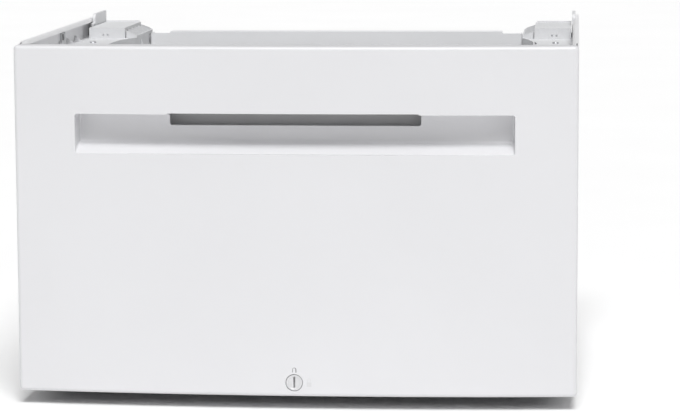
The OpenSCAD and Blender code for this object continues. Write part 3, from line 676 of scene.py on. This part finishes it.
def make_lock():
    prof = [(0, 0.9), (5.2, 0.9), (6.3, 0.55), (7.0, 0.15), (7.35, 0.0), (8.05, 0.0), (8.45, 0.12), (8.68, 0.45), (8.72, 0.9), (8.72, 11.7), (5.0, 11.9), (5.0, 50.7), (0, 50.7)]
    v, f = lathe_data(prof, 96)
    s = Soup()
    s.add(v, f, turn_to((0, 1, 0), (0, Y_APEX + 0.3, Z_LOCK)))
    ob = s.make("lock_core")
    # coin slot with round ends
    pts = [(0.95 * math.cos(a), 5.25 + 0.95 * math.sin(a)) for a in [math.pi * i / 8 for i in range(9)]]
    pts += [(-x, -z) for x, z in pts]
    boolean(ob, extrude_y("coin", [(x, z + Z_LOCK) for x, z in pts], Y_APEX - 2, Y_APEX + 6.5))
    # square end that carries the arm, with the screw's thread hole
    sq = box_object("sq", -3.4, 3.4, Y_HF + 10, Y_HF + 15, Z_LOCK - 3.4, Z_LOCK + 3.4)
    boolean(ob, sq, "UNION")
    v, f = lathe_data([(0, 0), (1.55, 0), (1.55, 14), (0, 14)], 32)
    s = Soup()
    s.add(v, f, turn_to((0, 1, 0), (0, Y_HF + 5, Z_LOCK)))
    boolean(ob, s.make("bore"))
    tidy(ob)

    def lip(e):
        return all(v.co.y * 1000 < Y_APEX + 1.6 and abs(v.co.x) < 0.0011 and abs(v.co.z * 1000 - Z_LOCK) < 6.3 for v in e.verts) and e.calc_face_angle(0.0) > math.radians(50)

    bevel_edges(ob, lip, 0.16, 2)
    smooth(ob, 30)
    return piece(ob, ["lock_barrel"])


make_lock()

# ------------------------------------------------------------------ threads, screws, rivets


def thread_data(r_out, r_in, pitch, z0, z1, n=24, rows=6, tip=0.0):
    """Rod with a right-handed thread between two heights."""
    steps = max(int(round((z1 - z0) / pitch * rows)), 2)
    verts, faces = [], []
    for i in range(steps + 1):
        z = z0 + (z1 - z0) * i / steps
        for j in range(n):
            th = 2 * math.pi * j / n
            u = ((z - z0) / pitch - j / n) % 1.0
            w = 1.0 - abs(2.0 * u - 1.0)
            w = min(max((w - 0.12) / 0.76, 0.0), 1.0)
            r = r_in + (r_out - r_in) * w
            edge = min((z - z0) / (0.8 * pitch), (z1 - z) / (0.8 * pitch), 1.0)
            r = r_in + (r - r_in) * max(edge, 0.0)
            if tip and z1 - z < tip:
                r = min(r, r_out - (tip - (z1 - z)) * 0.9)
            verts.append((r * math.cos(th), r * math.sin(th), z))
    for i in range(steps):
        for j in range(n):
            k = (j + 1) % n
            faces.append((i * n + j, i * n + k, (i + 1) * n + k, (i + 1) * n + j))
    faces.append(tuple(range(n - 1, -1, -1)))
    faces.append(tuple(steps * n + j for j in range(n)))
    return verts, faces


def head_template(R, H, kind, n=28):
    """Head of a pan screw with a cross recess, or of a domed rivet; its seat lies at z 0."""
    if kind == "pan":
        prof = [(0, 0), (R * 0.97, 0), (R, H * 0.12), (R * 0.985, H * 0.42), (R * 0.90, H * 0.74), (R * 0.72, H * 0.93), (R * 0.45, H), (0, H)]
    else:
        prof = [(0, 0), (R * 0.96, 0), (R, H * 0.10)] + [(R * math.cos(a), H * (0.10 + 0.90 * math.sin(a))) for a in (math.pi / 2 * i / 6 for i in range(1, 6))] + [(0, H)]
    v, f = lathe_data(prof, n)
    s = Soup()
    s.add(v, f)
    ob = s.make("head")
    if kind == "pan":
        w, l, d = R * 0.13, R * 0.56, H * 0.72
        for turn in (0, 1):
            a, b = (l, w) if turn == 0 else (w, l)
            ta, tb = (l * 0.55, w) if turn == 0 else (w, l * 0.55)
            rings = [[(-ta, -tb, H - d), (ta, -tb, H - d), (ta, tb, H - d), (-ta, tb, H - d)], [(-a, -b, H + 0.2), (a, -b, H + 0.2), (a, b, H + 0.2), (-a, b, H + 0.2)]]
            boolean(ob, loft("cross", rings))
    data = mesh_data(ob)
    bpy.data.objects.remove(ob)
    return data


HEADS = {}


def fastener(soup, at, axis, R, H, r, L, kind="pan", pitch=1.3, turn=0.0):
    """Head seated at a point with its top towards axis, shank the other way."""
    key = (round(R, 2), round(H, 2), kind)
    if key not in HEADS:
        HEADS[key] = head_template(R, H, kind)
    m = turn_to(axis, at) @ Matrix.Rotation(turn, 4, "Z")
    soup.add(*HEADS[key], m)
    if kind == "pan" and L > 2.5:
        v, f = thread_data(r, r * 0.78, pitch, -L, 0.02, 12, 5)
    else:
        v, f = lathe_data([(0, -L), (r * 0.85, -L), (r, -L + 0.3), (r, 0.02), (0, 0.02)], 16)
    soup.add(v, f, m)


def make_fasteners():
    def spin(i):
        return (i * 2.399963) % (2 * math.pi)

    p = Soup()
    for i, (x, z) in enumerate(BOSS_AT):
        fastener(p, (x, Y_PB + 1.2, z), (0, 1, 0), 3.4, 2.0, 1.68, 11.0, turn=spin(i))
    d = Soup()
    for s in (-1, 1):
        for i, z in enumerate((90, 150, 210, 270)):
            fastener(d, (s * (BOX_X - 8), BOX_Y0 + 2.2, z), (0, 1, 0), 3.6, 1.8, 1.93, 2.05, turn=spin(i))
            fastener(d, (s * (BOX_X - 8), BOX_Y1 - 0.2, z), (0, 1, 0), 3.6, 1.8, 1.93, 2.35, turn=spin(i + 4))
        for y in (-180, -40, 100, 190):
            fastener(d, (s * (BOX_X - 1.0), y, RUN_Z), (-s, 0, 0), 4.0, 1.6, 2.13, 2.2, "dome")
    h = Soup()
    for s in (-1, 1):
        i = 0
        for y in (-190, -95, 0, 95, 190):
            for t in (-1, 1):
                fastener(h, (s * (WI - 1.5), y, RUN_Z + t * 38), (-s, 0, 0), 3.6, 1.8, 1.83, 2.55, turn=spin(i))
                i += 1
        for y in (-200, -40, 120, 220):
            fastener(h, (s * (CAR_X + 1.5), y, RUN_Z), (s, 0, 0), 4.0, 1.5, 2.13, 2.65, "dome")
        for dd in (130, 230, 330):
            fastener(h, (s * 272, Y_CORNER + dd, Z_PLATE), (0, 0, 1), 3.8, 1.8, 1.53, 9.0, turn=spin(i))
            i += 1
        for z in (40, 140, 240, 340):
            fastener(h, (s * (HW - 12), Y_R - 2.4, z), (0, -1, 0), 3.6, 1.8, 1.83, 1.05, turn=spin(i))
            i += 1
        fastener(h, (s * 24, Y_HF + 11, Z_LOCK), (0, 1, 0), 3.4, 1.6, 1.93, 3.0, turn=spin(i))
    for soup, node in ((p, "panel_screws"), (d, "drawer_screws"), (h, "housing_screws")):
        ob = soup.make(node + "_set")
        smooth(ob, 35, False)
        piece(ob, [node])


def hexagon(r):
    return [(r * math.cos(math.pi / 3 * i), r * math.sin(math.pi / 3 * i)) for i in range(6)]


def make_studs():
    for row, y in (("front", FOOT_YF), ("rear", FOOT_YR)):
        for side, s in (("left", -1), ("right", 1)):
            node = "foot_stud_%s_%s" % (row, side)
            at = Matrix.Translation(Vector((s * FOOT_X, y, 0)))
            soup = Soup()
            # ball-like base that turns in the sole
            v, f = lathe_data([(0, 3.7), (6.6, 3.7), (7.0, 4.1), (7.0, 8.2), (6.8, 8.6), (0, 8.6)], 40)
            soup.add(v, f, at)
            # hexagon with its corners turned off at both ends
            h = loft("hex", [[(x, yy, z) for x, yy in hexagon(7.5)] for z in (8.6, 13.0)])
            v, f = lathe_data([(0, 8.55), (6.7, 8.55), (7.6, 9.15), (7.6, 12.45), (6.7, 13.05), (0, 13.05)], 48)
            c = Soup()
            c.add(v, f)
            boolean(h, c.make("cone"), "INTERSECT")
            soup.add(*mesh_data(h), at)
            bpy.data.objects.remove(h)
            v, f = thread_data(5.0, 4.15, 1.5, 12.9, 43.2, 28, 8, tip=1.2)
            soup.add(v, f, at)
            ob = soup.make(node.replace("stud", "screw"))
            smooth(ob, 38, False)
            piece(ob, [node])


make_fasteners()
make_studs()

# ------------------------------------------------------------------ runners: rolled profiles in place of square ones


def strip_profile(pts, t):
    """Closed outline of a bent strip of thickness t along a centre line of (x, z) points."""
    n = len(pts)
    a, b = [], []
    for i, p in enumerate(pts):
        q = Vector(p)
        d1 = (q - Vector(pts[i - 1])).normalized() if i else None
        d2 = (Vector(pts[i + 1]) - q).normalized() if i < n - 1 else None
        d = ((d1 or d2) + (d2 or d1)).normalized()
        nn = Vector((-d.y, d.x))
        k = 1.0 / max(nn.dot(Vector((-(d1 or d2).y, (d1 or d2).x))), 0.5)
        a.append((q.x + nn.x * t / 2 * k, q.y + nn.y * t / 2 * k))
        b.append((q.x - nn.x * t / 2 * k, q.y - nn.y * t / 2 * k))
    return a + b[::-1]


def extrude_run(soup, outline, s, y0, y1):
    """(x, z) outline drawn along Y on one side of the object, both ends closed."""
    n = len(outline)
    verts = [(s * x, y, z) for y in (y0, y1) for x, z in outline]
    faces = [(j, (j + 1) % n, n + (j + 1) % n, n + j) for j in range(n)]
    faces.append(tuple(range(n - 1, -1, -1)))
    faces.append(tuple(n + j for j in range(n)))
    soup.add(verts, faces)


def rail_line(u0, u1, zh, t, web_low, bead=0.0):
    """Centre line of a rolled C section: web with an optional bead, round bends, lips at the open side."""
    x1, x0 = CAR_X - u0, CAR_X - u1
    h, r = t / 2, 2.0
    zt = zh - h
    d = -1 if web_low else 1       # from the web towards the open side
    xw = x1 - h if web_low else x0 + h
    xe = x0 + 0.1 if web_low else x1 - 0.1
    half = [(xw + d * bead, 0.0), (xw + d * bead, zh * 0.30), (xw, zh * 0.30 + bead * 1.6 + 0.01)]
    half += [(xw + d * r * (1 - math.cos(a)), zt - r + r * math.sin(a)) for a in (math.pi / 2 * i / 6 for i in range(7))]
    half.append((xe, zt))
    return [(x, RUN_Z - z) for x, z in reversed(half[1:])] + [(x, RUN_Z + z) for x, z in half]


def pierce(ob, s, ys, r, x0, x1):
    for y in ys:
        v, f = lathe_data([(0, 0), (r, 0), (r, x1 - x0), (0, x1 - x0)], 24)
        c = Soup()
        c.add(v, f, turn_to((s, 0, 0), (s * x0, y, RUN_Z)))
        boolean(ob, c.make("pierce"))


def make_runners():
    for side, s in (("left", -1), ("right", 1)):
        kinds = (
            ("runner_outer_", "rail_outer_", 0.0, 9.5, 23.0, 1.2, True, Y_HF + 4, 248.0, (-200, -40, 120, 220), 2.2, 0.0),
            ("runner_middle_", "rail_middle_", 2.4, 11.0, 18.3, 1.2, True, Y_HF + 6, 220.0, (-150, 0, 150), 4.0, 0.0),
            ("runner_inner_", "rail_inner_", 4.8, 12.7, 13.6, 1.2, False, BOX_Y0 + 4, 210.0, (-180, -40, 100, 190), 2.2, 0.0),
        )
        for node, name, u0, u1, zh, t, low, y0, y1, holes, hr, bead in kinds:
            soup = Soup()
            extrude_run(soup, strip_profile(rail_line(u0, u1, zh, t, low, bead), t), s, y0, y1)
            ob = soup.make(name + side)
            xw0, xw1 = (CAR_X - u0 - t, CAR_X - u0) if low else (CAR_X - u1, CAR_X - u1 + t)
            pierce(ob, s, holes, hr, xw0 - 0.6, xw1 + 0.6)
            if node == "runner_outer_":
                # a stop block at the back
                b = Soup()
                for y in (244.0,):
                    v = [(s * x, yy, RUN_Z + z) for x in (CAR_X - 8, CAR_X - 1.25) for yy in (y, y + 3.9) for z in (-10, 10)]
                    b.add(v, [(0, 1, 3, 2), (4, 6, 7, 5), (0, 4, 5, 1), (2, 3, 7, 6), (0, 2, 6, 4), (1, 5, 7, 3)])
                st = b.make("stop")
                bevel_edges(st, lambda e: True, 0.8, 3)
                v, f = mesh_data(st)
                bpy.data.objects.remove(st)
                body = Soup()
                body.add(*mesh_data(ob))
                body.add(v, f)
                bpy.data.objects.remove(ob)
                ob = body.make(name + side)
            smooth(ob, 30)
            piece(ob, [node + side])


make_runners()

# ------------------------------------------------------------------ rolled top edges and snap clips of the walls


def make_wall_trim():
    for side, s in (("left", -1), ("right", 1)):
        w = WALL_TOP
        line = [(HW - 3.4, w - 0.35), (HW - 4.1, w - 0.42), (HW - 4.7, w - 0.85), (HW - 6.5, w - 3.1), (HW - 6.75, w - 3.9)]
        soup = Soup()
        y0, y1 = Y_HF + 26.0, 176.5
        extrude_run(soup, strip_profile(line, 0.6), s, y0, y1)
        # the front end runs down to the panel with the bevel of the wall
        n = len(strip_profile(line, 0.6))
        out = strip_profile(line, 0.6)
        k = 6
        rings = []
        for i in range(k + 1):
            t = i / k
            rings.append([(s * x, Y_HF + 1.0 + (y0 - Y_HF - 1.0) * t, z - (WALL_TOP - P_TOP + 1.0) * (1 - t)) for x, z in out])
        verts = [p for r in rings for p in r]
        faces = [(i * n + j, i * n + (j + 1) % n, (i + 1) * n + (j + 1) % n, (i + 1) * n + j) for i in range(k) for j in range(n)]
        faces.append(tuple(range(n - 1, -1, -1)))
        faces.append(tuple(k * n + j for j in range(n)))
        soup.add(verts, faces)
        ob = soup.make("wall_edge_" + side)
        smooth(ob, 35, False)
        piece(ob, ["side_wall_" + side], replace=False)
        # moulded clip of the foot rail: an upright tongue with a slot, hooked over the wall's window
        c = box_object("wall_clip_" + side, WI - 2.4, WI - 0.05, -0.5, 18.5, Z_PLATE + 0.5, w - 5.6)
        boolean(c, box_object("a", WI - 4, WI + 1, 1.4, 9.0, w - 14.5, w - 7.4))
        boolean(c, box_object("b", WI - 4, WI - 1.2, 12.4, 16.6, w - 14.5, w - 5.0))
        bevel_edges(c, lambda e: e.calc_face_angle(0.0) > 0.5, 0.35, 2)
        h = Soup()
        prof = [(WI - 1.5, w - 6.4), (WI - 3.2, w - 11.6), (WI - 3.2, w - 12.8), (WI - 1.5, w - 13.6)]
        extrude_run(h, prof, 1, 12.9, 16.1)
        v, f = mesh_data(c)
        h.add(v, f)
        bpy.data.objects.remove(c)
        if s < 0:
            h.v = [(-x, y, z) for x, y, z in h.v]
        ob = h.make("wall_clip_" + side)
        paint(ob, M["light_plastic"])
        smooth(ob, 35, False)
        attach(ob, BODY["wall_clips"])
        # painted shade: a black block fills the tongue's slot and stands in for the shadow in the gap
        g = box_object("clip_slot_painted_shade_" + side, WI - 2.15, WI - 0.06, 1.5, 8.9, w - 14.4, w - 7.5)
        if s < 0:
            for vtx in g.data.vertices:
                vtx.co.x = -vtx.co.x
            outward(g)
        bevel_edges(g, lambda e: True, 0.05, 1)
        # the black rubber finish on this block is painted shade, not a rubber part
        paint(g, M["black_rubber"])
        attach(g, BODY["wall_clips"])
        if side == "right":
            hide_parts("wall_clips")


make_wall_trim()

# ------------------------------------------------------------------ foot rails: open cells between the gussets, round recesses in the pads


def make_foot_rails():
    for side, s in (("left", -1), ("right", 1)):
        src = NODES["foot_rail_" + side]
        ob = bpy.data.objects.new("rail_moulding_" + side, src.data.copy())
        ob.data.name = ob.name
        scene.collection.objects.link(ob)
        tidy(ob, 1e-5)

        def cut(x0, x1, y0, y1, z0, z1):
            a, b = sorted((s * x0, s * x1))
            boolean(ob, box_object("cell", a, b, y0, y1, z0, z1))

        for i in range(5):
            y = Y_CORNER + 405 + 24 * i
            cut(234.2, 245.8, y + 2.7, y + 23.3, Z_PLATE - 3.2, Z_PLATE + 0.4)
        # dimples in the plate
        for d in (180, 280):
            v, f = lathe_data([(0, 0), (3.6, 0), (4.0, 0.9), (0, 0.9)], 32)
            c = Soup()
            c.add(v, f, Matrix.Translation(Vector((s * 258.0, Y_CORNER + d, Z_PLATE - 0.8))))
            boolean(ob, c.make("dimple"))
        tidy(ob, 1e-6)
        paint(ob, M["light_plastic"])
        dress(ob, 0.45)
        piece(ob, ["foot_rail_" + side])


make_foot_rails()

# ------------------------------------------------------------------ CAD nodes keep their shape and get a finish
BEVEL = {
    "foot_rail_left": 0.5, "foot_rail_right": 0.5, "guide_tab_left": 0.6, "guide_tab_right": 0.6,
    "side_wall_left": 0.35, "side_wall_right": 0.35, "upper_rear_beam": 0.4, "grip_pocket": 0.4,
}
for name, ob in NODES.items():
    if ob.hide_render:
        continue
    ob.data.materials.clear()
    ob.data.materials.append(M[SLOT_OF[name]])
    for p in ob.data.polygons:
        p.material_index = 0
    dress(ob, BEVEL.get(name, 0.25))

# ------------------------------------------------------------------ stage and light


def stage():
    me = bpy.data.meshes.new("floor")
    s = 30.0
    me.from_pydata([(-s, -s, 0), (s, -s, 0), (s, s, 0), (-s, s, 0)], [], [(0, 1, 2, 3)])
    ob = bpy.data.objects.new("floor", me)
    scene.collection.objects.link(ob)
    m, nt, b = base_material("floor_pale", (0.93, 0.93, 0.93), 0.85, specular=0.1)
    v = coords(nt)
    tint(nt, b, spread(nt, noise(nt, v, 2.0, 2.0), 0.0, 1.0), (0.925, 0.925, 0.925), (0.94, 0.94, 0.94))
    bump(nt, b, noise(nt, v, 300.0, 2.0), 0.1, 0.0001)
    me.materials.append(m)


def area_light(name, loc, at, size, power, color=(1, 1, 1), size_y=None):
    d = bpy.data.lights.new(name, "AREA")
    d.energy, d.color, d.size = power, color, size
    if size_y:
        d.shape, d.size_y = "RECTANGLE", size_y
    else:
        d.shape = "SQUARE"
    ob = bpy.data.objects.new(name, d)
    scene.collection.objects.link(ob)
    ob.location = loc
    ob.rotation_mode = "QUATERNION"
    ob.rotation_quaternion = (Vector(at) - Vector(loc)).to_track_quat("-Z", "Y")
    return ob


def sun_light(name, azimuth, elevation, width, strength):
    d = bpy.data.lights.new(name, "SUN")
    d.energy, d.angle = strength, math.radians(width)
    ob = bpy.data.objects.new(name, d)
    scene.collection.objects.link(ob)
    a, e = math.radians(azimuth), math.radians(elevation)
    v = Vector((math.sin(a) * math.cos(e), -math.cos(a) * math.cos(e), math.sin(e)))
    ob.rotation_mode = "QUATERNION"
    ob.rotation_quaternion = (-v).to_track_quat("-Z", "Y")
    return ob


def world():
    w = bpy.data.worlds.new("studio")
    scene.world = w
    w.use_nodes = True
    nt = w.node_tree
    bg = nt.nodes["Background"]
    tc = add(nt, "ShaderNodeTexCoord")
    sep = add(nt, "ShaderNodeSeparateXYZ")
    nt.links.new(tc.outputs["Generated"], sep.inputs["Vector"])
    # a broad overhead panel of light: bright above, dim at the horizon
    up = add(nt, "ShaderNodeMapRange")
    up.inputs["From Min"].default_value, up.inputs["From Max"].default_value = 0.0, 1.0
    up.inputs["To Min"].default_value, up.inputs["To Max"].default_value = 0.02, 0.56
    nt.links.new(sep.outputs["Z"], up.inputs["Value"])
    # and a pale wall low down all round
    wall = add(nt, "ShaderNodeMapRange")
    wall.inputs["From Min"].default_value, wall.inputs["From Max"].default_value = 0.085, 0.13
    wall.inputs["To Min"].default_value, wall.inputs["To Max"].default_value = 0.97, 0.0
    nt.links.new(sep.outputs["Z"], wall.inputs["Value"])
    both = add(nt, "ShaderNodeMath", operation="MAXIMUM")
    nt.links.new(up.outputs["Result"], both.inputs[0])
    nt.links.new(wall.outputs["Result"], both.inputs[1])
    bg.inputs["Color"].default_value = (1.0, 1.0, 1.0, 1.0)
    nt.links.new(both.outputs["Value"], bg.inputs["Strength"])


stage()
world()
sun_light("key", 12.0, 57.0, 28.0, 2.62)

scene.view_settings.view_transform = "Standard"
scene.view_settings.look = "None"
scene.view_settings.exposure = 0.0
scene.view_settings.gamma = 1.0
